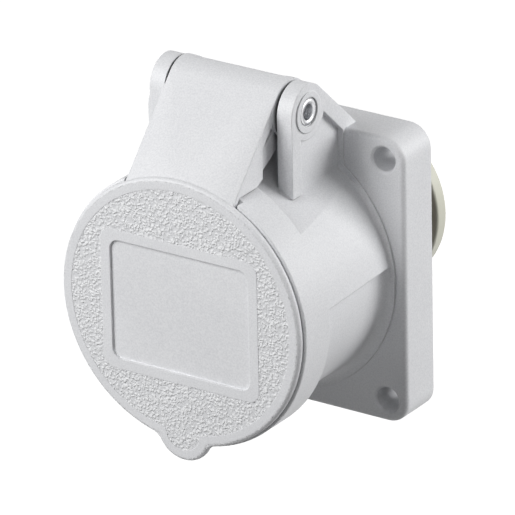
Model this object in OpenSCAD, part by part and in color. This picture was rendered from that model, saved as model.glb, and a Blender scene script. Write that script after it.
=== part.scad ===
// Panel socket for an industrial plug, with a sprung lid.
// A square flange carries a round barrel, and two ears on top carry the lid's hinge pin.
// Origin: middle of the flange's back face. +Y points into the panel, +Z is up. Sizes in mm.

/* [Flange] */
// Width and height of the square flange
flange_side = 71; // [69:0.5:76]
// Depth of the flange, from the panel to its front face
flange_depth = 11.5; // [10.5:0.5:15]
// Radius of the flange's corners
flange_corner_r = 5.5; // [4:0.5:7]
// Rounding of the flange's front edge
flange_edge_r = 1.2; // [0.6:0.1:1.8]
// Side wall of the hollow flange
flange_wall = 2.6; // [2:0.1:3]
// Thickness of the flange's front plate
front_plate = 3; // [2.5:0.1:3.5]
// Distance of each fixing hole's centre from the flange's edges
hole_inset = 5.5; // [5:0.25:6]
// Diameter of each fixing hole
hole_d = 6; // [4.5:0.1:6.5]
// Chamfer round the mouth of each fixing hole
hole_chamfer = 0.5; // [0.2:0.1:0.8]
// Wall of the tube round each fixing hole
hole_wall = 2.4; // [1.8:0.1:2.8]
// Height of the raised pad where the barrel and ears stand on the flange
pad_h = 0.5; // [0.3:0.1:1]
// Radius of the pad round the barrel
pad_r = 33; // [32.5:0.1:34]

/* [Barrel and collar] */
// Length of barrel and collar together, in front of the flange
barrel_len = 37.9; // [34:0.5:44]
// Outer radius of the barrel
barrel_r = 30; // [29:0.1:31]
// Outer radius of the collar behind the lid
collar_r = 33.2; // [32.8:0.1:34]
// Length of the collar
collar_len = 10.2; // [8:0.2:14]
// Rounding of the collar's front and rear edges
collar_edge_r = 0.5; // [0.3:0.1:0.8]
// Outer radius of the thick upper barrel at the flange
shoulder_root_r = 31.9; // [31.4:0.1:32.4]
// Height of the ledge under the thick upper barrel
ledge_z = 4; // [2:0.5:8]
// Distance of the two flats beside the ears from the socket's axis
flat_reach = 31.6; // [31:0.1:32.2]
// Tilt of those two flats, from the side towards the top
flat_angle = 57; // [54:1:62]
// Fillet between barrel and flange
root_fillet = 2.6; // [1.5:0.1:2.8]
// Fillet between thick upper barrel and flange
shoulder_fillet = 1; // [0.6:0.1:1.1]

/* [Plug space] */
// Radius of the bore that takes the plug's shroud
bore_r = 26; // [25.6:0.1:26.4]
// Width of the ring-shaped space round the contact insert
plug_space = 5; // [4.6:0.1:5.4]
// Distance of the insert's face behind the collar's front edge
insert_setback = 3.4; // [2.6:0.1:6]
// Width of the keyway at the bottom of the bore
key_w = 7.5; // [6:0.1:9]
// Depth of the keyway
key_depth = 1.8; // [1.2:0.1:1.9]
// Wall outside the keyway
key_wall = 3.2; // [2.6:0.1:3.6]

/* [Hinge] */
// Distance of the hinge axis in front of the panel
hinge_out = 26.1; // [25:0.2:28]
// Height of the hinge axis above the socket's axis
hinge_up = 44.7; // [44:0.1:47]
// Width of the lid's arm
arm_w = 29.4; // [27:0.2:31]
// Gap between the arm and each ear
ear_gap = 0.7; // [0.4:0.1:1]
// Thickness of each ear
ear_t = 4; // [3.4:0.1:4.6]
// Radius of the boss at the top of each ear
boss_r = 6.7; // [6:0.1:7]
// Width of the strip along each ear's front edge
ear_strip = 3.6; // [3:0.1:4.2]
// Width of the sloping rib along each ear's back edge
ear_rib = 3.8; // [3:0.1:4.2]
// Depth of the hollow in each ear's outer face
ear_hollow = 1.4; // [0.8:0.1:1.8]
// Distance that each sloping rib runs back over the flange
rib_run = 5.1; // [3:0.1:7]
// Outer radius of the hinge pin
pin_r = 2.7; // [2.2:0.05:2.9]
// Radius of the hole through the hollow hinge pin
pin_core_r = 1.8; // [1.2:0.05:2]
// Distance of the pin's ends behind the ears' outer faces
pin_inset = 0.5; // [0.3:0.1:1]
// Radial clearance between pin and lid
pin_play = 0.06; // [0.03:0.01:0.09]
// Widest opening angle of the lid
open_angle = 110; // [90:1:115]

/* [Lid] */
// Radius of the lid
lid_r = 32.6; // [32:0.1:33]
// Thickness of the lid at its rim
lid_t = 1.4; // [1.2:0.1:2.4]
// Rounding of the lid's front edge
lid_edge_r = 1; // [0.5:0.1:1.1]
// Gap between lid and collar
lid_gap = 0.4; // [0.3:0.05:0.6]
// Thickness added behind the middle of the lid
lid_back_t = 1.5; // [1:0.1:2]
// Radius of the thicker middle of the lid
lid_back_r = 22.5; // [20:0.5:23]
// Width of the smooth rim round the grained face
lid_rim = 2.7; // [2:0.1:4]
// Depth of the grained face below the rim
grain_sink = 0.15; // [0.1:0.05:0.3]
// Width of the label's recess
label_w = 37.8; // [30:0.2:40]
// Height of the label's recess
label_h = 29.6; // [20:0.2:32]
// Depth of the label's recess
label_sink = 0.6; // [0.3:0.1:0.8]
// Radius of the finger lip's round end
lip_r = 7.4; // [6:0.1:8.5]
// Distance that the finger lip stands out below the lid
lip_out = 4.3; // [3:0.1:6]
// Radius of the hollow blends beside the finger lip
lip_blend = 5; // [3:0.5:8]
// Radius of the arm's rounded hinge end
hub_r = 7; // [6.6:0.1:7.2]
// Wall of the hollow arm
arm_wall = 2.4; // [2:0.1:2.6]
// Depth of the arm's side walls near the hinge
arm_side = 2.9; // [2.4:0.1:3.4]

/* [Seals] */
// Width of the lid gasket
gasket_w = 1.8; // [1.4:0.1:2]
// Depth of the lid gasket's groove
gasket_groove = 2.2; // [1.8:0.1:2.6]
// Thickness of the panel gasket
panel_gasket_t = 1.7; // [1.2:0.1:2.2]
// Thickness of the round insert seal
seal_d = 1.4; // [1:0.1:1.6]

/* [Contact insert] */
// Thickness of the insert's base flange
base_t = 4.5; // [4:0.1:5]
// Thickness of the clamp ring behind the base flange
clamp_t = 1.8; // [1.4:0.1:2.4]
// Radius of the terminal block behind the flange
block_r = 19; // [18.6:0.1:19.4]
// Length of the terminal block behind the panel
block_out = 25.3; // [20:0.5:32]
// Radius of the terminal cover
cover_r = 21; // [20:0.1:22]
// Thickness of the terminal cover
cover_t = 3.8; // [3:0.1:5]
// Rounding of the terminal cover's edges
cover_edge_r = 0.6; // [0.3:0.1:0.9]
// Radius of the circle that the contacts stand on
contact_circle = 12.6; // [12.2:0.1:12.8]
// Diameter of the live and neutral pins
pin_d = 5; // [4.8:0.1:5.2]
// Diameter of the earth pin
earth_d = 7; // [6.6:0.1:7.2]
// Wall of the contact sleeves
sleeve_wall = 1.1; // [0.8:0.05:1.2]
// Length of the slots in the contact sleeves
slot_len = 14; // [8:0.5:20]
// Width of those slots
slot_w = 0.8; // [0.5:0.1:1]
// Radius of the terminals behind the sleeves
tail_r = 4.8; // [4.7:0.05:4.9]
// Length of the terminals
tail_len = 16.5; // [14:0.5:18]
// Radius of the hole for the wire
wire_r = 2.1; // [1.6:0.1:2.4]
// Radius of the terminal screws
clamp_screw_r = 2; // [1.5:0.1:2.2]

/* [Fixing screws] */
// Radius of the screws that hold the clamp ring
ring_screw_r = 1.4; // [1.1:0.1:1.5]
// Radius of the clamp ring's lugs
ring_lug_r = 2.6; // [2.2:0.1:2.7]
// Radius of the long screw through the terminal cover
cover_screw_r = 1.5; // [1.2:0.1:1.8]

/* [Spring] */
// Thickness of the spring wire
wire_d = 1.1; // [0.8:0.1:1.3]
// Number of turns of the spring
turns = 7; // [4:1:9]

/* [Hidden] */
$fn = 96;

// Clearances, and small sizes that follow from the moulding
fit_gap = 0.15;
part_gap = 0.3;
seat_gap = 0.1;
sleeve_gap = 0.05;
entry_gap = 0.4;
entry_wall = 1.5;
insert_wall = 2.4;
chamber_wall = 2.4;
boss_wall = 2.2;
lug_gap = 0.2;
pilot_wall = 1.3;
pilot_depth = 4;
head_t = 2;
head_sink = 0.2;
insert_edge_r = 0.8;
cover_screw_grip = 5;
bore_step = 2;
cut = 1;

// Details of the ears, of the stop between them and of the pin's seats
boss_rise = 0.3;
boss_set_in = 1.8;
ear_foot = 6;
ear_root = 2;
pin_sink = 0.1;
pin_sink_w = 0.8;
stop_gap = 0.4;
stop_back = 1.6;
stop_t = 2.6;
stop_len = 40;
stop_foot = 5;
stop_lap = 1;
stop_mark = 0.5;
stop_play = 2;

// Details of the lid and its arm
arm_set_in = 0.2;
arm_root = 0.8;
arm_front_wall = 3.4;
arm_sliver = 0.1;
arm_floor = 2;
arm_side_back = 11.8;
collar_gap = 0.5;
bevel_gap = 0.2;
knuckle_x = 8.5;
knuckle_wall = 2.7;
label_z = -0.4;
label_r = 2.5;
label_margin = 2.5;
margin_r = 3;
blend_sink = 0.1;

// Details of the housing's bore and of the seals
tube_wall = 3;
key_stop = 2;
gasket_in = 0.5;
gasket_out = 0.8;
seal_play = 0.2;
seal_sink = 0.05;

// Details of the contacts and screws
sleeve_set_in = 0.2;
pin_slack = 0.02;
ring_from_front = 2;
ring_t = 0.8;
ring_w = 1.2;
ring_play = 0.1;
ring_sink = 0.3;
ring_sweep = 330;
wire_stop = 3;
terminal_from_end = 5;
terminal_rim = 0.9;
terminal_head_t = 1.4;
screw_slot = 0.8;
recess_len = 1.4;
recess_depth = 0.8;
recess_w = 0.28;
tip_gap = 0.5;
thread_gap = 0.01;

// Details of the closing spring
coil_gap = 0.25;
turn_gap = 0.1;
leg_len = 11;
coil_start = 135;
coil_end = -20;
light_grey = [0.89, 0.90, 0.92];
brown = [0.27, 0.20, 0.15];
cream = [0.90, 0.89, 0.78];
brass = [0.80, 0.66, 0.36];
steel = [0.72, 0.73, 0.75];
rubber = [0.13, 0.13, 0.14];

// Fixing holes, and the clamp ring's screws between them and the barrel's tube
hole_pitch = flange_side - 2 * hole_inset;
hole_tube_r = hole_d / 2 + hole_wall;
flange_inner = flange_side - 2 * flange_wall;
ring_screw_circle = norm([hole_pitch, hole_pitch]) / 2 - hole_tube_r - ring_lug_r - lug_gap;

// Planes from back to front
stack_y = -(clamp_t + panel_gasket_t);
seat_y = stack_y - base_t;
flange_y = -flange_depth;
pad_y = flange_y - pad_h;
front_y = flange_y - barrel_len;
collar_y = front_y + collar_len;
insert_y = front_y + insert_setback;
lid_back_y = front_y - lid_gap;
lid_front_y = lid_back_y - lid_t;
block_y = block_out;
cover_y = block_y + cover_t;

// Radii round the socket's axis
insert_r = bore_r - plug_space;
seat_r = bore_r + bore_step;
tube_r = seat_r + tube_wall;
key_r = bore_r + key_depth;
key_out_r = key_r + key_wall;
gasket_r = key_r + gasket_in;
lip_edge_r = gasket_r + gasket_w + gasket_out;

// Hinge
hy = -hinge_out;
hz = hinge_up;
arm_x = arm_w / 2;
hollow_x = arm_x - arm_wall;
ear_in_x = arm_x + ear_gap;
ear_out_x = ear_in_x + ear_t;
web_x = ear_out_x - ear_hollow;
ear_front_y = hy - boss_r;
pin_x = ear_out_x - pin_inset;
knuckle_r = pin_r + knuckle_wall;
flange_top = flange_side / 2;

// Slope of the line from a point on the flange's top that just touches the ear's boss
rib_end_y = flange_y + rib_run;
rib_dist = norm([rib_end_y - hy, flange_top - hz]);
rib_slope = atan2(hz - flange_top, rib_end_y - hy) + asin(boss_r / rib_dist);
rib_normal = 90 - rib_slope;

// Angle of the hub's edge that meets the stop wall when the lid is fully open
stop_edge = open_angle + stop_play - (acos((stop_t - stop_back) / (hub_r - stop_mark)) - rib_normal);

// Centre of the finger lip's round end, and of the hollow blends beside it.
// The blends lie a hair below the edges they join, so that their surfaces cross.
lip_z = lip_r - lid_r - lip_out;
to_lid = lid_r - blend_sink + lip_blend;
to_lip = lip_r - blend_sink + lip_blend;
blend_z = -(to_lid ^ 2 - to_lip ^ 2 + lip_z ^ 2) / (-2 * lip_z);
blend_x = sqrt(to_lid ^ 2 - blend_z ^ 2);

// The spring's coil
coil_r = pin_r + coil_gap + wire_d / 2;
coil_w = turns * (wire_d + turn_gap);
coil_turn = coil_start - coil_end + 360 * turns;
coil_steps = 16 * turns;

// Planes and heads of the contacts
sleeve_y = insert_y + entry_wall + sleeve_set_in;
ring_y = sleeve_y + ring_from_front + ring_play;
terminal_y = stack_y + tail_len - terminal_from_end;
terminal_head_r = clamp_screw_r + terminal_rim;

// Contacts, as seen from the front: earth at the bottom
live_angle = 150;
neutral_angle = 30;
earth_angle = 270;
ring_screw_angles = [45, 135, 225, 315];
chamber_wall_angles = [90, 210, 330];

// Puts a shape turned about Z onto the socket's axis, with its height along +Y.
module along_y() {
    rotate([-90, 0, 0])
        children();
}

// Extrudes an outline drawn in X and Z, from the plane y_back towards the front.
module forward(y_back, depth) {
    translate([0, y_back, 0])
        rotate([90, 0, 0])
            linear_extrude(depth)
                children();
}

// Extrudes a profile drawn in Y and Z, from x_from to x_to.
module across(x_from, x_to) {
    translate([x_from, 0, 0])
        rotate([90, 0, 90])
            linear_extrude(x_to - x_from)
                children();
}

// Does the same on both sides of the middle plane.
module both_sides() {
    children();
    mirror([1, 0, 0])
        children();
}

// Cylinder along Y.
module rod_y(r, y_from, y_to) {
    translate([0, y_from, 0])
        along_y()
            cylinder(r = r, h = y_to - y_from);
}

// Cylinder along X, centred on the middle plane.
module rod_x(r, length) {
    rotate([0, 90, 0])
        cylinder(r = r, h = length, center = true);
}

// Places children at an angle on a circle round the socket's axis.
module on_circle(radius, angle) {
    translate([radius * cos(angle), 0, radius * sin(angle)])
        children();
}

// Square outline with round corners.
module round_square(side, r) {
    c = side / 2 - r;
    union() {
        square([side, 2 * c], center = true);
        square([2 * c, side], center = true);
        for (x = [-c, c], y = [-c, c])
            translate([x, y])
                circle(r);
    }
}

// Rectangle outline with round corners.
module round_rect(w, h, r) {
    union() {
        square([w, h - 2 * r], center = true);
        square([w - 2 * r, h], center = true);
        for (x = [-1, 1], y = [-1, 1])
            translate([x * (w / 2 - r), y * (h / 2 - r)])
                circle(r);
    }
}

// Section of the flange from its middle to a side: outwards along X, depth along Y.
module flange_section(reach) {
    union() {
        translate([0, flange_y + flange_edge_r])
            square([reach, flange_depth - flange_edge_r]);
        translate([0, flange_y])
            square([reach - flange_edge_r, flange_depth]);
        translate([reach - flange_edge_r, flange_y + flange_edge_r])
            circle(flange_edge_r, $fn = 48);
    }
}

// Solid flange block with a rounded front edge: a cross of two slabs and four turned corners.
module flange_block() {
    c = flange_side / 2 - flange_corner_r;
    union() {
        for (turn = [0 : 90 : 270])
            rotate([0, turn, 0]) {
                translate([0, 0, -c])
                    linear_extrude(2 * c)
                        flange_section(flange_side / 2);
                translate([c, 0, c])
                    rotate([0, -90, 0])
                        along_y()
                            rotate_extrude(angle = 90)
                                flange_section(flange_corner_r);
            }
    }
}

// Outline inside the flange's side walls.
module inner_outline() {
    round_square(flange_inner, flange_corner_r - flange_wall);
}

// Hollow behind the flange's front plate, clear of the hole tubes and, deeper in, of the barrel's tube.
module flange_hollow() {
    forward(cut, cut - stack_y)
        difference() {
            inner_outline();
            hole_places()
                circle(hole_tube_r);
        }
    forward(stack_y, stack_y - flange_y - front_plate)
        difference() {
            inner_outline();
            hole_places()
                circle(hole_tube_r);
            circle(tube_r);
            for (angle = ring_screw_angles)
                rotate(angle)
                    translate([ring_screw_circle, 0])
                        circle(ring_screw_r + pilot_wall);
        }
}

// The four fixing places in the flange's outline.
module hole_places() {
    for (x = [-1, 1], y = [-1, 1])
        translate([x, y] * hole_pitch / 2)
            children();
}

// The four fixing holes, with chamfered mouths.
module fixing_holes() {
    for (x = [-1, 1], z = [-1, 1])
        translate([x * hole_pitch / 2, 0, z * hole_pitch / 2]) {
            rod_y(hole_d / 2, flange_y - cut, cut);
            translate([0, flange_y - cut, 0])
                along_y()
                    cylinder(r1 = hole_d / 2 + hole_chamfer + cut, r2 = hole_d / 2, h = hole_chamfer + cut);
        }
}

// Profile of a barrel that spreads into the pad: radius along X, depth along Y.
module barrel_profile(front_r, root_r, fillet) {
    polygon([[0, flange_y + cut], [root_r + fillet, flange_y + cut], [root_r + fillet, pad_y],
        [root_r, pad_y], [root_r, pad_y - fillet], [front_r, collar_y], [front_r, collar_y - cut],
        [0, collar_y - cut]]);
    difference() {
        translate([root_r - cut, pad_y - fillet])
            square([fillet + cut, fillet]);
        translate([root_r + fillet, pad_y - fillet])
            circle(fillet, $fn = 64);
    }
}

// Half plane below a flat beside the ears.
module below_flat(side) {
    rotate(side > 0 ? flat_angle : 180 - flat_angle)
        translate([flat_reach - 100, -100])
            square([100, 200]);
}

// The barrel: round below the ledge, thicker and flush with the collar above it.
module barrel() {
    along_y()
        rotate_extrude()
            barrel_profile(barrel_r, barrel_r, root_fillet);
    intersection() {
        along_y()
            rotate_extrude()
                barrel_profile(collar_r, shoulder_root_r, shoulder_fillet);
        forward(flange_y + cut, 2 * barrel_len)
            intersection() {
                translate([-100, ledge_z])
                    square([200, 100]);
                below_flat(1);
                below_flat(-1);
            }
    }
    // Thicker wall outside the keyway
    intersection() {
        rod_y(key_out_r, collar_y - cut, flange_y + cut);
        forward(flange_y + cut, 2 * barrel_len)
            translate([-(key_w / 2 + key_wall - 1), -collar_r])
                square([key_w + 2 * key_wall - 2, collar_r]);
    }
}

// The collar, with slightly rounded edges.
module collar() {
    along_y()
        rotate_extrude()
            union() {
                translate([0, front_y + collar_edge_r])
                    square([collar_r, collar_len - 2 * collar_edge_r]);
                translate([0, front_y])
                    square([collar_r - collar_edge_r, collar_len]);
                for (y = [front_y + collar_edge_r, collar_y - collar_edge_r])
                    translate([collar_r - collar_edge_r, y])
                        circle(collar_edge_r, $fn = 48);
            }
}

// Bevel on top of the collar that lets the arm pass: a ring cut, only as wide as the arm.
module arm_relief() {
    bevel = collar_r - lip_edge_r;
    intersection() {
        along_y()
            rotate_extrude()
                polygon([[lip_edge_r, front_y - cut], [lip_edge_r, front_y],
                    [collar_r + cut, front_y + bevel + cut], [collar_r + cut, front_y - cut]]);
        forward(front_y + 3 * bevel, 4 * bevel)
            translate([-ear_in_x, 0])
                square([2 * ear_in_x, collar_r + 2 * cut]);
    }
}

// Side view of an ear, in Y and Z.
module ear_outline() {
    low = flat_reach - ear_foot;
    t = [hy + boss_r * cos(rib_normal), hz + boss_r * sin(rib_normal)];
    union() {
        translate([hy, hz])
            circle(boss_r);
        polygon([[hy, hz], t, [rib_end_y, flange_top], [rib_end_y - ear_root - cut, flange_top - ear_root],
            [flange_y + cut, flange_top - ear_root], [flange_y + cut, low], [ear_front_y, low], [ear_front_y, hz]]);
    }
}

// Hollow in an ear's outer face, between the front strip, the boss and the sloping rib.
module ear_hollow_outline() {
    difference() {
        intersection() {
            translate([ear_front_y + ear_strip, 0])
                square([flange_y - pad_h - ear_front_y - ear_strip, hz]);
            translate([hy, hz])
                rotate(rib_normal)
                    translate([boss_r - ear_rib - 100, -100])
                        square([100, 200]);
        }
        translate([hy, hz])
            circle(boss_r);
    }
}

// One ear with its boss, and the hollow in its outer face.
module ear() {
    difference() {
        union() {
            across(ear_in_x, ear_out_x)
                ear_outline();
            across(ear_out_x - cut, ear_out_x + boss_rise)
                translate([hy, hz])
                    circle(boss_r - boss_set_in);
        }
        across(web_x, ear_out_x + cut)
            ear_hollow_outline();
    }
}

// Sloping wall between the ears behind the hinge. Its upper edge stops the opening lid.
module stop_wall() {
    difference() {
        across(stop_gap - hollow_x, hollow_x - stop_gap)
            difference() {
                translate([hy, hz])
                    rotate(rib_normal)
                        translate([-stop_back, -stop_len])
                            square([stop_t, stop_len]);
                translate([flange_y + cut, 0])
                    square([60, 100]);
                square([200, 2 * (flat_reach - stop_foot)], center = true);
            }
        translate([0, hy, hz])
            rod_x(hub_r - stop_lap, arm_w);
    }
}

// Flange, barrel, collar and ears, moulded in one.
module housing() {
    color(light_grey)
        difference() {
            union() {
                flange_block();
                forward(flange_y + cut, cut + pad_h)
                    union() {
                        circle(pad_r);
                        translate([-ear_out_x, 0])
                            square([2 * ear_out_x, flange_top - flange_edge_r]);
                    }
                barrel();
                collar();
                both_sides()
                    ear();
                stop_wall();
            }
            flange_hollow();
            fixing_holes();
            // Bore for the plug, seat for the insert and keyway
            rod_y(bore_r, front_y - cut, cut);
            rod_y(seat_r, seat_y, cut);
            forward(seat_y - key_stop, barrel_len + flange_depth)
                intersection() {
                    circle(key_r);
                    translate([-key_w / 2, -collar_r])
                        square([key_w, collar_r]);
                }
            // Groove for the lid gasket
            along_y()
                rotate_extrude()
                    translate([gasket_r, front_y - cut])
                        square([gasket_w, gasket_groove + cut]);
            arm_relief();
            // Hinge pin's bore and the shallow counterbores at its ends
            translate([0, hy, hz])
                rod_x(pin_r, 2 * ear_out_x + 4);
            both_sides()
                translate([ear_out_x - pin_sink, hy, hz])
                    rotate([0, 90, 0])
                        cylinder(r = pin_r + pin_sink_w, h = cut);
            // Pilot holes for the clamp ring's screws
            for (angle = ring_screw_angles)
                on_circle(ring_screw_circle, angle)
                    rod_y(ring_screw_r, stack_y - pilot_depth, cut);
        }
}

// Gasket in the collar's groove, a little short of the closed lid.
module lid_gasket() {
    color(rubber)
        along_y()
            rotate_extrude()
                translate([gasket_r + 0.05, front_y - lid_gap + 0.1])
                    square([gasket_w - 0.1, gasket_groove + lid_gap - 0.1]);
}

// Flat gasket that seals the flange's hollow against the panel.
module panel_gasket() {
    color(rubber)
        forward(0, panel_gasket_t)
            difference() {
                intersection() {
                    circle(tube_r);
                    inner_outline();
                }
                circle(block_r + 3);
            }
}

// Section of a round plate with a rounded front edge: radius along X, depth along Y.
module plate_section(r) {
    difference() {
        union() {
            translate([0, lid_front_y + lid_edge_r])
                square([r, lid_t - lid_edge_r]);
            translate([0, lid_front_y])
                square([r - lid_edge_r, lid_t]);
            translate([r - lid_edge_r, lid_front_y + lid_edge_r])
                circle(lid_edge_r, $fn = 48);
        }
        translate([0, lid_back_y])
            square([r + cut, lid_edge_r + cut]);
    }
}

// Outline between the lid's circle, the lip's circle and the centres of the two blends.
module blend_outline() {
    on_lid = 1 - lip_blend / to_lid;
    on_lip = 1 - lip_blend / to_lip;
    right = [[blend_x, blend_z] * on_lid, [blend_x, blend_z],
        [blend_x * on_lip, lip_z + (blend_z - lip_z) * on_lip]];
    left = [for (i = [2 : -1 : 0]) [-right[i][0], right[i][1]]];
    polygon(concat([[0, -lid_r / 2]], right, [[0, lip_z]], left));
}

// The lid's plate: a disc, thicker in its middle, and a finger lip, with blends between them.
module lid_plate() {
    along_y()
        rotate_extrude()
            union() {
                plate_section(lid_r);
                translate([0, lid_back_y - lid_t / 2])
                    square([lid_back_r, lid_t / 2 + lid_back_t]);
            }
    translate([0, 0, lip_z])
        along_y()
            rotate_extrude()
                plate_section(lip_r);
    difference() {
        forward(lid_back_y, lid_t - blend_sink)
            blend_outline();
        for (x = [-blend_x, blend_x])
            translate([x, 0, blend_z])
                along_y()
                    rotate_extrude()
                        difference() {
                            translate([0, lid_front_y - cut])
                                square([lip_blend + lid_edge_r, lid_t + 2 * cut]);
                            translate([lip_blend + lid_edge_r, lid_front_y + lid_edge_r])
                                circle(lid_edge_r, $fn = 48);
                            translate([lip_blend, lid_front_y + lid_edge_r])
                                square([lid_edge_r + cut, lid_t + 2 * cut]);
                        }
    }
}

// Outline of the lid's face, set in from its edge.
module face_outline(inset) {
    circle(lid_r - inset);
    translate([0, lip_z])
        circle(lip_r - inset);
}

// The arm's outer shape: from the round hinge end to the upper edge of the lid.
module arm_block() {
    hull() {
        translate([0, hy, hz])
            rod_x(hub_r, arm_w, $fn = 64);
        forward(lid_back_y, lid_t - lid_edge_r)
            intersection() {
                circle(lid_r - arm_set_in, $fn = 128);
                translate([-arm_x, arm_root * lid_r])
                    square([arm_w, lid_r]);
            }
    }
}

// Everything cut from the arm: its hollow, room for the collar and the open back of the side walls.
module arm_cuts() {
    wall_y = lid_back_y + arm_front_wall;
    // Hollow under the arm, down to open air
    hull() {
        translate([0, hy, hz])
            rod_x(hub_r - arm_wall, 2 * hollow_x, $fn = 48);
        translate([-hollow_x, wall_y, 0])
            cube([2 * hollow_x, arm_sliver, lip_edge_r + part_gap]);
        translate([-hollow_x, hy, 0])
            cube([2 * hollow_x, 5, hz - hub_r - arm_floor]);
    }
    // The collar and its bevel, with clearance
    along_y()
        rotate_extrude()
            polygon([[0, lid_back_y], [lip_edge_r + bevel_gap / 2, lid_back_y],
                [lip_edge_r + collar_gap, lid_back_y + bevel_gap],
                [collar_r + collar_gap, lid_back_y + collar_r - lip_edge_r + bevel_gap],
                [collar_r + collar_gap, 0], [0, 0]]);
    // Behind the side walls, clear of the hub
    across(-arm_w, arm_w)
        difference() {
            translate([hy, hz])
                rotate(135)
                    translate([hub_r - arm_side - 100, -20])
                        square([100, 100]);
            translate([hy, hz])
                circle(hub_r);
            translate([hy - arm_side_back - 100, 0])
                square([100, 100]);
        }
    // The hub's back is open for the spring and the stop wall
    across(-hollow_x, hollow_x)
        translate([hy, hz])
            difference() {
                circle(hub_r + cut);
                rotate(stop_edge)
                    translate([-20, 0])
                        square(40);
            }
}

module lid() {
    color(light_grey)
        difference() {
            union() {
                lid_plate();
                difference() {
                    arm_block();
                    arm_cuts();
                }
                both_sides()
                    translate([(knuckle_x + hollow_x) / 2 + cut / 2, hy, hz])
                        rod_x(knuckle_r, hollow_x - knuckle_x + cut);
            }
            // Grained face and label recess
            forward(lid_front_y + grain_sink, cut)
                difference() {
                    face_outline(lid_rim);
                    translate([0, label_z])
                        round_rect(label_w + 2 * label_margin, label_h + 2 * label_margin, margin_r);
                }
            forward(lid_front_y + label_sink, label_sink + cut)
                translate([0, label_z])
                    round_rect(label_w, label_h, label_r);
            // Bore for the hinge pin
            translate([0, hy, hz])
                rod_x(pin_r + pin_play, arm_w + 2);
        }
}

// Hollow hinge pin.
module hinge_pin() {
    color(steel)
        translate([0, hy, hz])
            difference() {
                rod_x(pin_r, 2 * pin_x);
                rod_x(pin_core_r, 2 * pin_x + 2);
            }
}

// Points of the spring wire's centre line: lid leg, coil, housing leg. Angles are seen from +X.
function on_coil(angle) = [hy + coil_r * cos(angle), hz + coil_r * sin(angle)];
function leg_end(angle, turn, length) =
    on_coil(angle) + length * [cos(turn), sin(turn)];
leg_a = leg_end(coil_start, coil_start + 90, leg_len);
leg_b = leg_end(coil_end, coil_end - 90, leg_len);
coil_path = concat([[-coil_w / 2, leg_a[0], leg_a[1]]],
    [for (i = [0 : coil_steps])
        let (p = on_coil(coil_start - coil_turn * i / coil_steps))
            [coil_w * (i / coil_steps - 0.5), p[0], p[1]]],
    [[coil_w / 2, leg_b[0], leg_b[1]]]);

// Sweeps a round wire along a path that winds about the X axis.
module wire(path, r, sides) {
    last = len(path) - 1;
    ways = [for (i = [0 : last])
        let (d = path[min(i + 1, last)] - path[max(i - 1, 0)]) d / norm(d)];
    rings = [for (i = [0 : last])
        let (u = cross(ways[i], [1, 0, 0]), v = cross(ways[i], u / norm(u)))
            for (k = [0 : sides - 1])
                path[i] + r * (cos(360 * k / sides) * u / norm(u) + sin(360 * k / sides) * v)];
    sides_faces = [for (i = [0 : last - 1], k = [0 : sides - 1])
        let (a = i * sides + k, b = i * sides + (k + 1) % sides)
            [a, a + sides, b + sides, b]];
    polyhedron(rings, concat([[for (k = [0 : sides - 1]) k]], sides_faces,
        [[for (k = [sides - 1 : -1 : 0]) last * sides + k]]), convexity = 10);
}

// Spring that closes the lid, wound round the hinge pin.
module torsion_spring() {
    color(steel)
        wire(coil_path, wire_d / 2, 8);
}

// Section of the insert's front: a round post with a rounded edge.
module insert_section() {
    union() {
        translate([0, insert_y + insert_edge_r])
            square([insert_r, seat_y - insert_y - insert_edge_r]);
        translate([0, insert_y])
            square([insert_r - insert_edge_r, seat_y - insert_y]);
        translate([insert_r - insert_edge_r, insert_y + insert_edge_r])
            circle(insert_edge_r, $fn = 48);
    }
}

// Entry for one pin through the post's front wall.
module pin_entry(angle, pin) {
    on_circle(contact_circle, angle)
        rod_y(pin / 2 + entry_gap, insert_y - cut, insert_y + entry_wall + cut);
}

// Outline of the post's inside: three chambers, with walls between them that meet in a boss for the screw.
module chamber_outline() {
    difference() {
        circle(insert_r - insert_wall);
        for (angle = chamber_wall_angles)
            rotate(angle)
                translate([0, -chamber_wall / 2])
                    square([insert_r, chamber_wall]);
        circle(cover_screw_r + boss_wall);
    }
}

// Front insert: the post that the plug slides over, hollow behind its front wall.
module contact_carrier() {
    color(brown)
        difference() {
            along_y()
                rotate_extrude()
                    insert_section();
            forward(seat_y + cut, seat_y + cut - insert_y - entry_wall)
                chamber_outline();
            pin_entry(live_angle, pin_d);
            pin_entry(neutral_angle, pin_d);
            pin_entry(earth_angle, earth_d);
            rod_y(cover_screw_r, seat_y - cover_screw_grip - tip_gap, seat_y + cut);
        }
}

// Plate that carries the post in the housing's seat and holds the sleeves.
module carrier_plate() {
    color(brown)
        difference() {
            rod_y(seat_r - seat_gap, seat_y, stack_y);
            for (c = [[live_angle, pin_d], [neutral_angle, pin_d], [earth_angle, earth_d]])
                on_circle(contact_circle, c[0])
                    rod_y(c[1] / 2 + sleeve_wall + sleeve_gap, seat_y - cut, stack_y + cut);
            // Groove for the round seal
            along_y()
                rotate_extrude()
                    translate([seat_r - seal_d - seat_gap, (seat_y + stack_y - seal_d) / 2 - seal_play])
                        square([seal_d + cut, seal_d + 2 * seal_play]);
            rod_y(cover_screw_r, seat_y - cut, stack_y + cut);
        }
}

module insert_seal() {
    color(rubber)
        along_y()
            rotate_extrude()
                translate([seat_r - seal_d / 2 - seal_sink, (seat_y + stack_y) / 2])
                    circle(seal_d / 2, $fn = 32);
}

// Cylinder square to the socket's axis, pointing outwards at an angle.
module radial_rod(angle, y, r, from, to) {
    translate([0, y, 0])
        rotate([0, -angle, 0])
            translate([from, 0, 0])
                rotate([0, 90, 0])
                    cylinder(r = r, h = to - from);
}

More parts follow.
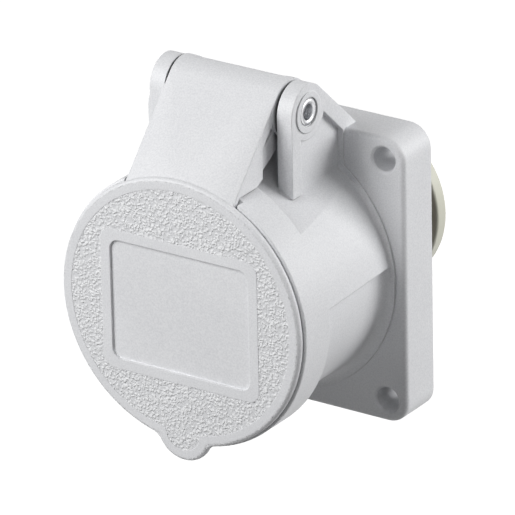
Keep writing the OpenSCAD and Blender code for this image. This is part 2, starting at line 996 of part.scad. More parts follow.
// Room for one terminal in the block: a chamber open to the side for the screwdriver, and the wire's entry.
module terminal_room(angle) {
    room_r = tail_r + fit_gap;
    on_circle(contact_circle, angle)
        rod_y(wire_r + cut, stack_y, block_y + cut);
    forward(stack_y + tail_len + fit_gap, tail_len + fit_gap + cut)
        union() {
            translate([cos(angle), sin(angle)] * contact_circle)
                circle(room_r);
            rotate(angle)
                translate([contact_circle, -room_r])
                    square([block_r, 2 * room_r]);
        }
}

// Rear insert: the block that holds the terminals.
module terminal_block() {
    color(brown)
        difference() {
            rod_y(block_r, stack_y, block_y);
            terminal_room(live_angle);
            terminal_room(neutral_angle);
            terminal_room(earth_angle);
            rod_y(cover_screw_r, stack_y - cut, block_y + cut);
        }
}

// Disc that closes the terminal block, with an entry for each wire.
module terminal_cover() {
    head_r = 2 * cover_screw_r;
    color(cream)
        difference() {
            along_y()
                rotate_extrude()
                    union() {
                        translate([0, block_y + cover_edge_r])
                            square([cover_r, cover_t - 2 * cover_edge_r]);
                        translate([0, block_y])
                            square([cover_r - cover_edge_r, cover_t]);
                        for (y = [block_y + cover_edge_r, cover_y - cover_edge_r])
                            translate([cover_r - cover_edge_r, y])
                                circle(cover_edge_r, $fn = 48);
                    }
            for (angle = [live_angle, neutral_angle, earth_angle])
                on_circle(contact_circle, angle)
                    rod_y(wire_r + cut, block_y - cut, cover_y + cut);
            rod_y(cover_screw_r, block_y - cut, cover_y + cut);
            rod_y(head_r + fit_gap, cover_y - head_t, cover_y + cut);
        }
}

// Long screw that holds cover, block and insert together.
module cover_screw() {
    head_r = 2 * cover_screw_r;
    color(steel)
        difference() {
            union() {
                rod_y(cover_screw_r, seat_y - cover_screw_grip, cover_y - head_t);
                rod_y(head_r, cover_y - head_t, cover_y - head_sink);
            }
            cross_recess(cover_y - head_sink, head_r);
        }
}

// Ring that clamps the insert into the housing, with a lug for each screw.
module clamp_ring() {
    color(steel)
        forward(-panel_gasket_t, clamp_t)
            difference() {
                union() {
                    intersection() {
                        circle(tube_r);
                        inner_outline();
                    }
                    for (angle = ring_screw_angles)
                        rotate(angle) {
                            translate([seat_r, -ring_lug_r])
                                square([ring_screw_circle - seat_r, 2 * ring_lug_r]);
                            translate([ring_screw_circle, 0])
                                circle(ring_lug_r);
                        }
                }
                circle(block_r + fit_gap);
                for (angle = ring_screw_angles)
                    rotate(angle)
                        translate([ring_screw_circle, 0])
                            circle(ring_screw_r);
            }
}

// Cross-shaped recess in a screw's head at the plane y.
module cross_recess(y, head_r) {
    for (turn = [0, 90])
        translate([0, y, 0])
            rotate([0, turn, 0])
                cube([recess_len * head_r, recess_depth * head_r, recess_w * head_r], center = true);
}

// Screws of the clamp ring, one at each lug.
module clamp_ring_screws() {
    head_r = ring_lug_r - head_sink;
    color(steel)
        for (angle = ring_screw_angles)
            on_circle(ring_screw_circle, angle)
                difference() {
                    union() {
                        rod_y(ring_screw_r - thread_gap, stack_y - pilot_depth + part_gap, -panel_gasket_t);
                        rod_y(head_r, -panel_gasket_t, -part_gap);
                    }
                    cross_recess(-part_gap, head_r);
                }
}

// Contact: a slotted sleeve for the pin in front, a solid terminal for the wire behind.
module contact(angle, pin) {
    sleeve_r = pin / 2 + sleeve_wall;
    color(brass)
        difference() {
            on_circle(contact_circle, angle)
                difference() {
                    union() {
                        rod_y(sleeve_r, sleeve_y, stack_y + cut);
                        rod_y(tail_r, stack_y, stack_y + tail_len);
                    }
                    rod_y(pin / 2 + pin_slack, sleeve_y - cut, seat_y - cut);
                    for (turn = [0, 90])
                        rotate([0, turn, 0])
                            translate([-sleeve_r - cut, sleeve_y - cut, -slot_w / 2])
                                cube([2 * sleeve_r + 2 * cut, slot_len + cut, slot_w]);
                    // Groove for the spring ring
                    difference() {
                        rod_y(sleeve_r + cut, ring_y - ring_play, ring_y + ring_w + ring_play);
                        rod_y(sleeve_r - ring_sink, ring_y - cut, ring_y + ring_w + cut);
                    }
                    rod_y(wire_r, stack_y + wire_stop, stack_y + tail_len + cut);
                }
            radial_rod(angle, terminal_y, clamp_screw_r, contact_circle, contact_circle + tail_r + cut);
        }
}

module contact_live() {
    contact(live_angle, pin_d);
}

module contact_neutral() {
    contact(neutral_angle, pin_d);
}

module contact_earth() {
    contact(earth_angle, earth_d);
}

// Open steel ring that squeezes a sleeve onto its pin.
module spring_ring(angle, pin) {
    sleeve_r = pin / 2 + sleeve_wall;
    color(steel)
        on_circle(contact_circle, angle)
            translate([0, ring_y, 0])
                along_y()
                    rotate_extrude(angle = ring_sweep)
                        translate([sleeve_r - ring_sink, 0])
                            square([ring_t, ring_w]);
}

module spring_ring_live() {
    spring_ring(live_angle, pin_d);
}

module spring_ring_neutral() {
    spring_ring(neutral_angle, pin_d);
}

module spring_ring_earth() {
    spring_ring(earth_angle, earth_d);
}

// Screw that presses the wire in its terminal.
module terminal_screw(angle) {
    color(steel)
        difference() {
            union() {
                radial_rod(angle, terminal_y, clamp_screw_r, contact_circle + wire_r, contact_circle + tail_r);
                radial_rod(angle, terminal_y, terminal_head_r, contact_circle + tail_r,
                    contact_circle + tail_r + terminal_head_t);
            }
            translate([0, terminal_y, 0])
                rotate([0, -angle, 0])
                    translate([contact_circle + tail_r + terminal_head_t, 0, 0])
                        cube([2 * screw_slot, 2 * terminal_head_r + cut, screw_slot], center = true);
        }
}

module terminal_screw_live() {
    terminal_screw(live_angle);
}

module terminal_screw_neutral() {
    terminal_screw(neutral_angle);
}

module terminal_screw_earth() {
    terminal_screw(earth_angle);
}

housing();
lid();
lid_gasket();
panel_gasket();
hinge_pin();
torsion_spring();
contact_carrier();
carrier_plate();
insert_seal();
terminal_block();
terminal_cover();
clamp_ring();
clamp_ring_screws();
cover_screw();
contact_live();
contact_neutral();
contact_earth();
spring_ring_live();
spring_ring_neutral();
spring_ring_earth();
terminal_screw_live();
terminal_screw_neutral();
terminal_screw_earth();
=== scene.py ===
import bpy
import math
from mathutils import Vector, Matrix


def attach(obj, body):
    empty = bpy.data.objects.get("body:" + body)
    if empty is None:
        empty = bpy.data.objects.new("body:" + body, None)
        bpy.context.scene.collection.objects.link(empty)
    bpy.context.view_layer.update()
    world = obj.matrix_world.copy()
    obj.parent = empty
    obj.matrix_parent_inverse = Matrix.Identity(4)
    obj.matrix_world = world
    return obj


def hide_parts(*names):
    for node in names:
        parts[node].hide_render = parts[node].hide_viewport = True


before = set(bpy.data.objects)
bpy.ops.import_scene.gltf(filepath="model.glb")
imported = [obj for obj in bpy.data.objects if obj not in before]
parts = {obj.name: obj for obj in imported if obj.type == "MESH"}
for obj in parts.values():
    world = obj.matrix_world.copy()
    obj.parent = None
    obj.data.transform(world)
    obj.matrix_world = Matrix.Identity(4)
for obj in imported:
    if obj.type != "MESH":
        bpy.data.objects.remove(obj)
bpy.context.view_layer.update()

mm = 0.001
print("frame loaded,", len(parts), "parts")


# camera: from the right and above, on the lid and the right side
cameraSettings = {
    "azimuth": 34.236,
    "elevation": 23.484,
    "roll": -1.285,
    "distance": 1.61875,
    "target": (0.000576, -0.020, 0.002411),
    "lens": 491.64,
}


def makeCamera(look):
    turn = math.radians(look["azimuth"])
    lift = math.radians(look["elevation"])
    back = Vector((math.sin(turn) * math.cos(lift), -math.cos(turn) * math.cos(lift), math.sin(lift)))
    data = bpy.data.cameras.new("productCamera")
    data.lens = look["lens"]
    data.sensor_width = 36
    data.clip_start = 0.1
    data.clip_end = 20
    camera = bpy.data.objects.new("productCamera", data)
    bpy.context.scene.collection.objects.link(camera)
    spin = (Matrix.Rotation(turn, 4, "Z") @ Matrix.Rotation(math.radians(90) - lift, 4, "X")
            @ Matrix.Rotation(math.radians(look["roll"]), 4, "Z"))
    camera.matrix_world = Matrix.Translation(Vector(look["target"]) + back * look["distance"]) @ spin
    bpy.context.scene.camera = camera


makeCamera(cameraSettings)
bpy.context.scene.view_settings.view_transform = "Standard"
print("camera set")


# a socket of a shader, so that sums of textures read like sums
class Tone:
    def __init__(self, shader, socket):
        self.shader = shader
        self.socket = socket

    def output(self, name):
        return Tone(self.shader, self.socket.node.outputs[name])

    def work(self, operation, first, second=0.0):
        return self.shader.node("ShaderNodeMath", {"operation": operation}, {0: first, 1: second})

    def __add__(self, other):
        return self.work("ADD", self, other)

    def __radd__(self, other):
        return self.work("ADD", other, self)

    def __sub__(self, other):
        return self.work("SUBTRACT", self, other)

    def __rsub__(self, other):
        return self.work("SUBTRACT", other, self)

    def __mul__(self, other):
        return self.work("MULTIPLY", self, other)

    def __lt__(self, other):
        return self.work("LESS_THAN", self, other)

    def __abs__(self):
        return self.work("ABSOLUTE", self)

    def clamped(self):
        return self.shader.node("ShaderNodeClamp", {}, {"Value": self})

    def between(self, low, high):
        return self.shader.node("ShaderNodeMapRange", {"interpolation_type": "SMOOTHSTEP"},
                                {"Value": self, "From Min": low, "From Max": high})


# one material: its node tree and the sockets that get a finish
class Finish:
    def __init__(self, name):
        self.material = bpy.data.materials.new(name)
        self.material.use_nodes = True
        self.tree = self.material.node_tree
        self.surface = self.tree.nodes["Principled BSDF"]
        self.place = self.node("ShaderNodeTexCoord", {}, {}).output("Object")
        self.y = self.node("ShaderNodeSeparateXYZ", {}, {0: self.place}).output("Y")

    def node(self, kind, settings, inputs):
        made = self.tree.nodes.new(kind)
        for key, value in settings.items():
            setattr(made, key, value)
        for key, value in inputs.items():
            if isinstance(value, Tone):
                self.tree.links.new(value.socket, made.inputs[key])
            else:
                made.inputs[key].default_value = value
        return Tone(self, next(s for s in made.outputs if s.enabled))

    def noise(self, scale, detail=2.0, roughness=0.5, place=None):
        inputs = {"Vector": place or self.place, "Scale": scale, "Detail": detail, "Roughness": roughness}
        return self.node("ShaderNodeTexNoise", {}, inputs)

    def colours(self, factor, first, second):
        ends = [end if isinstance(end, Tone) else (*end, 1) for end in (first, second)]
        return self.node("ShaderNodeMix", {"data_type": "RGBA"}, {0: factor, 6: ends[0], 7: ends[1]})

    def bump(self, height, strength, distance, normal):
        inputs = {"Height": height, "Strength": strength, "Distance": distance, "Normal": normal}
        return self.node("ShaderNodeBump", {}, inputs)

    def softEdge(self, radius):
        return self.node("ShaderNodeBevel", {"samples": 6}, {"Radius": radius})

    # 0 in narrow gaps and inner corners, 1 in the open
    def openness(self, distance):
        return self.node("ShaderNodeAmbientOcclusion", {"samples": 8}, {"Distance": distance}).output("AO")

    # 1 along sharp edges, 0 on flats: the mask of the painted highlight along the edges
    def edgeLine(self, radius):
        soft = self.softEdge(radius)
        true = self.node("ShaderNodeNewGeometry", {}, {}).output("True Normal")
        facing = self.node("ShaderNodeVectorMath", {"operation": "DOT_PRODUCT"}, {0: soft, 1: true})
        return (1 - facing.output("Value")).between(0.01, 0.22)

    def feed(self, **sockets):
        names = {"colour": "Base Color", "roughness": "Roughness", "metallic": "Metallic", "normal": "Normal",
                 "specular": "Specular IOR Level"}
        for key, value in sockets.items():
            spot = self.surface.inputs[names[key]]
            if isinstance(value, Tone):
                self.tree.links.new(value.socket, spot)
            else:
                spot.default_value = value


# light grey moulded plastic: eroded grain, painted highlights on the edges and pebble tops, painted shade in
# the gaps, corners and pebble pits, and pebbles where the face is sunk
greyPlastic = {
    "light": (0.835, 0.84, 0.855),
    "dark": (0.645, 0.652, 0.675),
    # colour of the painted highlights along the edges and on the pebble tops
    "highlightColour": (0.90, 0.905, 0.915),
    "paintedShadeColour": (0.045, 0.046, 0.05),
    "cloudScale": 55,
    "cloudTint": 0.5,
    "speckScale": 2600,
    "speckTint": 1.7,
    "speckDepth": 0.02 * mm,
    "speckBump": 0.5,
    "middleTint": 0.62,
    "roughness": 0.46,
    "speckRough": 0.14,
    "cloudRough": 0.06,
    "specular": 0.4,
    "edge": 0.35 * mm,
    # reach and share of the painted highlight along sharp edges
    "edgeHighlightReach": 0.3 * mm,
    "edgeHighlightShare": 0.6,
    # painted shade in narrow gaps and inner corners: its reach and range, and how little of it is kept at the
    # seam
    "paintedShadeReach": 2.2 * mm,
    "paintedShadeRange": (0.45, 0.97),
    "seamY": -47.5 * mm,
    "seamDepth": 3 * mm,
    "seamShadeShare": 0.05,
}
pebbles = {
    "faceY": -51.15 * mm,
    "reach": 0.03 * mm,
    "scale": 1400,
    "smoothness": 0.5,
    "driftScale": 700,
    "wander": 0.0009,
    "lumpScale": 1400 * 1.2,
    "cellShare": 0.7,
    "lumpShare": 0.8,
    "range": (0.55, 1.05),
    "depth": 0.20 * mm,
    # colour of the painted shade in the pebble pits
    "pitShade": (0.70, 0.705, 0.72),
    "pitReach": 1.3,
    "pitShare": 0.5,
    "rough": 0.05,
}


def greyFinish(name, look, grain=None):
    f = Finish(name)
    cloud = f.noise(look["cloudScale"], 3)
    speck = f.noise(look["speckScale"], 2, 0.7)
    tint = (cloud - 0.5) * look["cloudTint"] + (speck - 0.5) * look["speckTint"] + look["middleTint"]
    colour = f.colours(tint.clamped(), look["dark"], look["light"])
    rough = look["roughness"] + (speck - 0.5) * look["speckRough"] + (cloud - 0.5) * look["cloudRough"]
    height = f.bump(speck, look["speckBump"], look["speckDepth"], f.softEdge(look["edge"]))
    if grain:
        onFace = abs(f.y - grain["faceY"]) < grain["reach"]
        drift = f.noise(grain["driftScale"], 2)
        wander = f.node("ShaderNodeVectorMath", {"operation": "SCALE"},
                        {0: drift.output("Color"), "Scale": grain["wander"]})
        place = f.node("ShaderNodeVectorMath", {"operation": "ADD"}, {0: f.place, 1: wander})
        cells = f.node("ShaderNodeTexVoronoi", {"feature": "SMOOTH_F1"},
                       {"Vector": place, "Scale": grain["scale"], "Smoothness": grain["smoothness"],
                        "Randomness": 1.0})
        lumps = f.noise(grain["lumpScale"], 1, 0.5, place)
        pebble = ((1 - cells) * grain["cellShare"] + lumps * grain["lumpShare"]).between(*grain["range"])
        height = f.bump(pebble * onFace, 1.0, grain["depth"], height)
        # painted shade in the pebble pits and a painted highlight on the pebble tops, following the pebbles'
        # height
        pitShade = onFace * (1 - pebble * grain["pitReach"]).clamped() * grain["pitShare"]
        colour = f.colours(pitShade, f.colours(onFace * pebble, colour, look["highlightColour"]), grain["pitShade"])
        rough = rough + onFace * grain["rough"]
    # painted highlight: a pale line along sharp edges
    colour = f.colours(f.edgeLine(look["edgeHighlightReach"]) * look["edgeHighlightShare"], colour, look["highlightColour"])
    # painted shade: the colour goes dark in narrow gaps and inner corners, such as those at the hinge, and
    # only a little of it is kept at the seam between lid and collar
    behind = (f.y - look["seamY"]).between(0, look["seamDepth"]) * (1 - look["seamShadeShare"]) + look["seamShadeShare"]
    paintedShade = (1 - f.openness(look["paintedShadeReach"])).between(*look["paintedShadeRange"]) * behind
    colour = f.colours(paintedShade, colour, look["paintedShadeColour"])
    f.feed(colour=colour, roughness=rough, normal=height, specular=look["specular"])
    return f.material


# dark brown insulating plastic of the insert, the cream plastic of its cover, and black rubber
brownPlastic = {"light": (0.075, 0.048, 0.033), "dark": (0.055, 0.035, 0.025), "roughness": 0.38}
creamPlastic = {"light": (0.66, 0.655, 0.565), "dark": (0.60, 0.60, 0.50), "roughness": 0.45}
blackRubber = {"light": (0.030, 0.030, 0.033), "dark": (0.016, 0.016, 0.018), "roughness": 0.72}
plainGrain = {
    "cloudScale": 90,
    "cloudTint": 0.8,
    "speckTint": 0.8,
    "speckRough": 0.15,
    "bump": 0.5,
    "edge": 0.25 * mm,
    "specular": 0.5,
}


def plainFinish(name, look, speckScale=3000, depth=0.01 * mm):
    f = Finish(name)
    cloud = f.noise(plainGrain["cloudScale"], 3)
    speck = f.noise(speckScale, 3, 0.6)
    tint = (cloud - 0.5) * plainGrain["cloudTint"] + (speck - 0.5) * plainGrain["speckTint"] + 0.5
    colour = f.colours(tint.clamped(), look["dark"], look["light"])
    rough = look["roughness"] + (speck - 0.5) * plainGrain["speckRough"]
    height = f.bump(speck, plainGrain["bump"], depth, f.softEdge(plainGrain["edge"]))
    f.feed(colour=colour, roughness=rough, normal=height, specular=plainGrain["specular"])
    return f.material


# turned or drawn metal: fine lines round an axis or along the wire
metals = {
    "steel": {"light": (0.72, 0.725, 0.74), "dark": (0.56, 0.565, 0.58), "roughness": 0.27, "lines": "x"},
    "spring": {"light": (0.55, 0.555, 0.565), "dark": (0.40, 0.405, 0.42), "roughness": 0.3, "lines": "x"},
    "zinc": {"light": (0.60, 0.61, 0.63), "dark": (0.47, 0.48, 0.50), "roughness": 0.36, "lines": "y"},
    "screws": {"light": (0.68, 0.685, 0.70), "dark": (0.50, 0.505, 0.52), "roughness": 0.28, "lines": "y"},
    "brass": {"light": (0.80, 0.62, 0.30), "dark": (0.62, 0.45, 0.19), "roughness": 0.26, "lines": "y"},
}


metalGrain = {
    "across": {"x": (2600, 300, 300), "y": (300, 2600, 300)},
    "blotchScale": 220,
    "lineTint": 1.1,
    "blotchTint": 0.6,
    "lineRough": 0.18,
    "blotchRough": 0.1,
    "bump": 0.35,
    "depth": 0.008 * mm,
    "edge": 0.12 * mm,
}


def metalFinish(name, look):
    f = Finish(name)
    place = f.node("ShaderNodeMapping", {}, {"Vector": f.place, "Scale": metalGrain["across"][look["lines"]]})
    lines = f.noise(1.0, 3, 0.6, place)
    blotch = f.noise(metalGrain["blotchScale"], 3)
    tint = (lines - 0.5) * metalGrain["lineTint"] + (blotch - 0.5) * metalGrain["blotchTint"] + 0.5
    colour = f.colours(tint.clamped(), look["dark"], look["light"])
    rough = (look["roughness"] + (lines - 0.5) * metalGrain["lineRough"]
             + (blotch - 0.5) * metalGrain["blotchRough"])
    height = f.bump(lines, metalGrain["bump"], metalGrain["depth"], f.softEdge(metalGrain["edge"]))
    f.feed(colour=colour, roughness=rough, metallic=1.0, normal=height)
    return f.material


finishes = {
    "housing": greyFinish("greyPlasticHousing", greyPlastic),
    "lid": greyFinish("greyPlasticLid", greyPlastic, pebbles),
    "brown": plainFinish("brownPlastic", brownPlastic),
    "cream": plainFinish("creamPlastic", creamPlastic),
    "rubber": plainFinish("blackRubber", blackRubber, 1800, 0.03 * mm),
}
for metal, look in metals.items():
    finishes[metal] = metalFinish(metal + "Metal", look)

wearsFinish = {
    "housing": ["housing"],
    "lid": ["lid"],
    "brown": ["contact_carrier", "carrier_plate", "terminal_block"],
    "cream": ["terminal_cover"],
    "rubber": ["lid_gasket", "panel_gasket", "insert_seal"],
    "steel": ["hinge_pin"],
    "spring": ["torsion_spring", "spring_ring_live", "spring_ring_neutral", "spring_ring_earth"],
    "zinc": ["clamp_ring"],
    "screws": ["clamp_ring_screws", "cover_screw", "terminal_screw_live", "terminal_screw_neutral",
               "terminal_screw_earth"],
    "brass": ["contact_live", "contact_neutral", "contact_earth"],
}


def paint(piece, material):
    piece.data.materials.clear()
    piece.data.materials.append(material)
    for face in piece.data.polygons:
        face.material_index = 0


for finishName, names in wearsFinish.items():
    for name in names:
        if name in parts:
            paint(parts[name], finishes[finishName])
print("finishes on all parts")


# the lid's grained face comes forward until its border is only a faint line
faceSettings = {"from": -51.05 * mm, "to": -51.15 * mm, "reach": 0.01 * mm}


def liftFace(lid, settings):
    group = lid.vertex_groups.new(name="grainedFace")
    onFace = [v.index for v in lid.data.vertices if abs(v.co.y - settings["from"]) < settings["reach"]]
    group.add(onFace, 1.0, "REPLACE")
    lift = lid.modifiers.new("grainedFace", "DISPLACE")
    lift.vertex_group = "grainedFace"
    lift.direction = "Y"
    lift.mid_level = 0
    lift.strength = settings["to"] - settings["from"]


liftFace(parts["lid"], faceSettings)
print("grained face lifted")


# the closing spring: coil and lower leg stay with the housing, upper leg goes with the lid
springSettings = {
    "axisY": -26.1 * mm,
    "axisZ": 44.7 * mm,
    "coilRadius": 3.5 * mm,
    "wireRadius": 0.55 * mm,
    "wireSides": 12,
    "width": 8.4 * mm,
    "startAngle": 135,
    "sweep": 2675,
    "rounds": 8,
    "roundSteps": 22,
    "legLength": 11 * mm,
    "lidLegShare": 0.97,
    "lidLegTurn": 225,
    "lastTurn": 230,
    "lastTurnSteps": 18,
    "lastTurnOut": 1.16 * mm,
    "housingLegTurn": -110,
}


def clearSelection():
    if bpy.context.object and bpy.context.object.mode != "OBJECT":
        bpy.ops.object.mode_set(mode="OBJECT")
    bpy.ops.object.select_all(action="DESELECT")


meshSettings = {"mergeReach": 0.01 * mm, "smoothBelow": 40}


# the finished mesh: applied, merged, normals outward, smooth up to an angle
def settle(piece, name):
    piece.name = name
    piece.data.name = name
    clearSelection()
    piece.select_set(True)
    bpy.context.view_layer.objects.active = piece
    bpy.ops.object.transform_apply(location=True, rotation=True, scale=True)
    bpy.ops.object.mode_set(mode="EDIT")
    bpy.ops.mesh.select_all(action="SELECT")
    bpy.ops.mesh.remove_doubles(threshold=meshSettings["mergeReach"])
    bpy.ops.mesh.normals_make_consistent(inside=False)
    bpy.ops.object.mode_set(mode="OBJECT")
    bpy.ops.object.shade_smooth_by_angle(angle=math.radians(meshSettings["smoothBelow"]))
    piece.select_set(False)


def wireEnd(settings, angle, x):
    a = math.radians(angle)
    return Vector((x, settings["axisY"] + settings["coilRadius"] * math.cos(a),
                   settings["axisZ"] + settings["coilRadius"] * math.sin(a)))


def alongTurn(turn, length):
    a = math.radians(turn)
    return Vector((0, length * math.cos(a), length * math.sin(a)))


def springCoil(settings):
    clearSelection()
    start = wireEnd(settings, settings["startAngle"], -settings["width"] / 2)
    bpy.ops.mesh.primitive_circle_add(vertices=settings["wireSides"], radius=settings["wireRadius"],
                                      location=start)
    coil = bpy.context.object
    coil.rotation_euler = (math.radians(settings["startAngle"]), 0, 0)
    bpy.ops.object.transform_apply(location=False, rotation=True, scale=True)
    bpy.context.scene.cursor.location = (start.x, settings["axisY"], settings["axisZ"])
    bpy.ops.object.origin_set(type="ORIGIN_CURSOR")
    bpy.context.scene.cursor.location = (0, 0, 0)
    screw = coil.modifiers.new("coil", "SCREW")
    screw.axis = "X"
    screw.angle = -math.radians(settings["sweep"] / settings["rounds"])
    screw.screw_offset = settings["width"] / settings["rounds"]
    screw.iterations = settings["rounds"]
    screw.steps = settings["roundSteps"]
    screw.render_steps = settings["roundSteps"]
    bpy.ops.object.modifier_apply(modifier=screw.name)
    bpy.ops.object.transform_apply(location=True, rotation=True, scale=True)
    # lower leg: the open end at the right is drawn out, then its end is closed
    bpy.ops.object.mode_set(mode="EDIT")
    bpy.ops.mesh.select_all(action="DESELECT")
    bpy.ops.mesh.select_mode(type="VERT")
    bpy.ops.object.mode_set(mode="OBJECT")
    end = wireEnd(settings, settings["startAngle"] - settings["sweep"], settings["width"] / 2)
    for vert in coil.data.vertices:
        vert.select = (vert.co - end).length < settings["wireRadius"] * 1.02
    bpy.ops.object.mode_set(mode="EDIT")
    bpy.ops.mesh.extrude_region_move(
        TRANSFORM_OT_translate={"value": alongTurn(settings["housingLegTurn"], settings["legLength"])})
    bpy.ops.mesh.edge_face_add()
    bpy.ops.object.mode_set(mode="OBJECT")
    settle(coil, "springCoil")
    return coil


def springLidLeg(settings):
    # a last open turn beside the coil, from its end round to the leg, so that the turn winds up with the lid
    x = -settings["width"] / 2 - settings["lastTurnOut"]
    first = settings["startAngle"] - settings["lastTurn"]
    clearSelection()
    start = wireEnd(settings, first, x)
    bpy.ops.mesh.primitive_circle_add(vertices=settings["wireSides"], radius=settings["wireRadius"],
                                      location=start, fill_type="NGON", rotation=(math.radians(first), 0, 0))
    leg = bpy.context.object
    bpy.ops.object.transform_apply(location=True, rotation=True, scale=True)
    bpy.ops.object.mode_set(mode="EDIT")
    bpy.ops.mesh.select_all(action="SELECT")
    bpy.ops.mesh.spin(steps=settings["lastTurnSteps"], angle=math.radians(settings["lastTurn"]),
                      center=(x, settings["axisY"], settings["axisZ"]), axis=(1, 0, 0))
    reach = alongTurn(settings["lidLegTurn"], settings["legLength"] * settings["lidLegShare"])
    bpy.ops.mesh.extrude_region_move(TRANSFORM_OT_translate={"value": reach})
    bpy.ops.object.mode_set(mode="OBJECT")
    settle(leg, "springLidLeg")
    return leg


# hollow hinge pin with flared, rounded ends that fill the shallow seats in the ears
pinSettings = {
    "axisY": -26.1 * mm,
    "axisZ": 44.7 * mm,
    "steps": 64,
    "outline": ((0, 2.695), (19.1, 2.695), (19.32, 2.72), (19.36, 3.02), (19.5, 3.08), (19.6, 2.96),
                (19.63, 2.6), (19.6, 2.2), (19.45, 1.96), (19.1, 1.86), (0, 1.86)),
}


def drawLine(points, closed):
    clearSelection()
    bpy.ops.mesh.primitive_plane_add(size=1 * mm, location=points[0])
    drawn = bpy.context.object
    bpy.ops.object.mode_set(mode="EDIT")
    bpy.ops.mesh.select_all(action="SELECT")
    bpy.ops.mesh.merge(type="CENTER")
    for before, after in zip(points, points[1:]):
        bpy.ops.mesh.extrude_region_move(TRANSFORM_OT_translate={"value": Vector(after) - Vector(before)})
    if closed:
        bpy.ops.mesh.select_all(action="SELECT")
        bpy.ops.mesh.edge_face_add()
    return drawn


def hollowPin(settings):
    outline = [(x * mm, settings["axisY"], settings["axisZ"] + r * mm) for x, r in settings["outline"]]
    left = [(-x, y, z) for x, y, z in reversed(outline)]
    pin = drawLine(left[:-1] + outline, False)
    bpy.ops.mesh.select_all(action="SELECT")
    bpy.ops.mesh.spin(steps=settings["steps"], angle=math.radians(360),
                      center=(0, settings["axisY"], settings["axisZ"]), axis=(1, 0, 0))
    bpy.ops.object.mode_set(mode="OBJECT")
    settle(pin, "hollowPin")
    return pin


# webs that stiffen the lid's arm below its side walls, one on each side
webSettings = {
    "inner": 12.5 * mm,
    "outer": 14.0 * mm,
    "edge": 0.18 * mm,
    "edgeSteps": 3,
    "outline": ((-38.4, 31.5), (-37.9, 31.9), (-37.15, 32.85), (-35.3, 33.9), (-33.4, 34.9), (-31.7, 36.05),
                (-30.2, 37.1), (-29.6, 39.9), (-30.4, 41.4), (-31.97, 41.0), (-34.4, 39.7), (-36.96, 38.16),
                (-38.4, 37.3)),
}


def armWeb(settings):
    web = drawLine([(settings["inner"], y * mm, z * mm) for y, z in settings["outline"]], True)
    bpy.ops.mesh.select_all(action="SELECT")
    bpy.ops.mesh.extrude_region_move(
        TRANSFORM_OT_translate={"value": (settings["outer"] - settings["inner"], 0, 0)})
    bpy.ops.object.mode_set(mode="OBJECT")
    edge = web.modifiers.new("edge", "BEVEL")
    edge.width = settings["edge"]
    edge.segments = settings["edgeSteps"]
    edge.limit_method = "ANGLE"
    bpy.ops.object.modifier_apply(modifier=edge.name)
    settle(web, "armWebRight")
    other = web.copy()
    other.data = web.data.copy()
    bpy.context.scene.collection.objects.link(other)
    other.scale = (-1, 1, 1)
    settle(other, "armWebLeft")
    return web, other


pin = hollowPin(pinSettings)
paint(pin, finishes["steel"])
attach(pin, "base")
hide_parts("hinge_pin")
for web in armWeb(webSettings):
    paint(web, finishes["lid"])
    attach(web, "lid")
print("pin and webs made")

coil = springCoil(springSettings)
lidLeg = springLidLeg(springSettings)
for piece, body in ((coil, "base"), (lidLeg, "lid")):
    paint(piece, finishes["spring"])
    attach(piece, body)
    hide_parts("torsion_spring")
print("spring wound")


# soft light: a large source high in front at the left, one behind at the right, a weak fill and surround
lightSettings = {
    "front": {"azimuth": -28, "elevation": 30, "distance": 0.7, "size": 0.5, "watts": 4.85},
    "side": {"azimuth": 125, "elevation": 21, "distance": 0.7, "size": 0.45, "watts": 4.35},
    "fill": {"azimuth": 62, "elevation": 34, "distance": 0.6, "size": 0.4, "watts": 0.35},
    "surround": 0.04,
    "floorZ": -0.30,
    "floorSize": 8,
    "floorColour": (0.30, 0.30, 0.30, 1),
}


def softbox(name, look):
    turn, lift = math.radians(look["azimuth"]), math.radians(look["elevation"])
    back = Vector((math.sin(turn) * math.cos(lift), -math.cos(turn) * math.cos(lift), math.sin(lift)))
    data = bpy.data.lights.new(name, "AREA")
    data.shape = "SQUARE"
    data.size = look["size"]
    data.energy = look["watts"]
    lamp = bpy.data.objects.new(name, data)
    bpy.context.scene.collection.objects.link(lamp)
    lamp.location = back * look["distance"]
    lamp.rotation_mode = "QUATERNION"
    lamp.rotation_quaternion = (-back).to_track_quat("-Z", "Y")


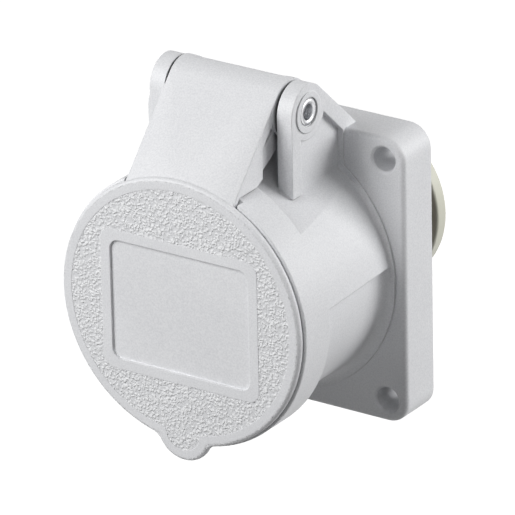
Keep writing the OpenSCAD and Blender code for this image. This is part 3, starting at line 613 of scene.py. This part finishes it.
# 1 for what the camera sees, also in a reflection or through clear material, and 0 for light on the part
def seenByCamera(tree):
    seen = tree.nodes.new("ShaderNodeLightPath")
    highest = seen.outputs["Is Camera Ray"]
    for ray in ("Is Glossy Ray", "Is Transmission Ray"):
        higher = tree.nodes.new("ShaderNodeMath")
        higher.operation = "MAXIMUM"
        tree.links.new(highest, higher.inputs[0])
        tree.links.new(seen.outputs[ray], higher.inputs[1])
        highest = higher.outputs[0]
    return highest


def makeFloor(look):
    clearSelection()
    bpy.ops.mesh.primitive_plane_add(size=look["floorSize"], location=(0, 0, look["floorZ"]))
    floor = bpy.context.object
    floor.name = "floor"
    material = bpy.data.materials.new("paleFloor")
    material.use_nodes = True
    tree = material.node_tree
    tree.nodes.clear()
    pale = tree.nodes.new("ShaderNodeBsdfDiffuse")
    pale.inputs["Color"].default_value = look["floorColour"]
    glow = tree.nodes.new("ShaderNodeEmission")
    added = tree.nodes.new("ShaderNodeAddShader")
    output = tree.nodes.new("ShaderNodeOutputMaterial")
    tree.links.new(seenByCamera(tree), glow.inputs["Strength"])
    tree.links.new(pale.outputs[0], added.inputs[0])
    tree.links.new(glow.outputs[0], added.inputs[1])
    tree.links.new(added.outputs[0], output.inputs["Surface"])
    floor.data.materials.append(material)


def makeWorld(look):
    world = bpy.data.worlds.new("studio")
    bpy.context.scene.world = world
    world.use_nodes = True
    tree = world.node_tree
    tree.nodes.clear()
    level = tree.nodes.new("ShaderNodeMapRange")
    level.inputs["To Min"].default_value = look["surround"]
    level.inputs["To Max"].default_value = 1.0
    tree.links.new(seenByCamera(tree), level.inputs["Value"])
    sky = tree.nodes.new("ShaderNodeBackground")
    sky.inputs["Color"].default_value = (1, 1, 1, 1)
    tree.links.new(level.outputs["Result"], sky.inputs["Strength"])
    output = tree.nodes.new("ShaderNodeOutputWorld")
    tree.links.new(sky.outputs[0], output.inputs["Surface"])


for place in ("front", "side", "fill"):
    softbox(place + "Softbox", lightSettings[place])
makeFloor(lightSettings)
makeWorld(lightSettings)
print("lights and floor set")
